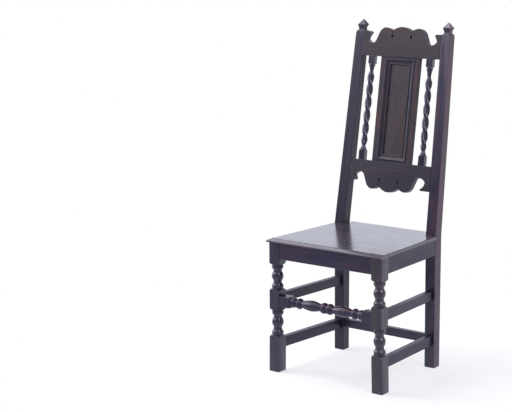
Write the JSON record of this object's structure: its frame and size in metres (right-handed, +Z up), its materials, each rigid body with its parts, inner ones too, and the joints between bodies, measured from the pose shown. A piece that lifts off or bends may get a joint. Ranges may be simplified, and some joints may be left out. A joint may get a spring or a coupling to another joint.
{
  "type": "wainscot chair",
  "caption": "Joined oak side chair with a panelled back, twist spindles, scalloped crest and lower back rails, a plank seat and turned front legs and stretcher.",
  "frame": {"origin": "middle of the chair's outline seen from above, at floor level", "axes": "+Z up; the front of the chair faces -Y; +X is on the viewer's right when the chair is seen from its front"},
  "size_m": [0.445, 0.4788, 1.12],
  "materials": {
    "oak": "dark waxed oak, satin",
    "pegs": "dark waxed oak end grain, satin"
  },
  "bodies": {
    "root": {"back_frame_pegs": "pegs", "back_panel": "oak", "crest_rail": "oak", "front_leg_left": "oak", "front_leg_right": "oak", "front_seat_rail": "oak", "front_stretcher": "oak", "lower_back_rail": "oak", "lower_side_stretcher_left": "oak", "lower_side_stretcher_right": "oak", "panel_moulding_bottom": "oak", "panel_moulding_left": "oak", "panel_moulding_right": "oak", "panel_moulding_top": "oak", "panel_muntin_left": "oak", "panel_muntin_right": "oak", "rear_post_left": "oak", "rear_post_right": "oak", "rear_seat_rail": "oak", "rear_stretcher": "oak", "seat_board_front": "oak", "seat_board_pegs": "pegs", "seat_board_rear": "oak", "seat_rail_pegs": "pegs", "side_seat_rail_left": "oak", "side_seat_rail_right": "oak", "stretcher_pegs": "pegs", "twist_spindle_left": "oak", "twist_spindle_right": "oak", "upper_side_stretcher_left": "oak", "upper_side_stretcher_right": "oak"}
  },
  "joints": []
}
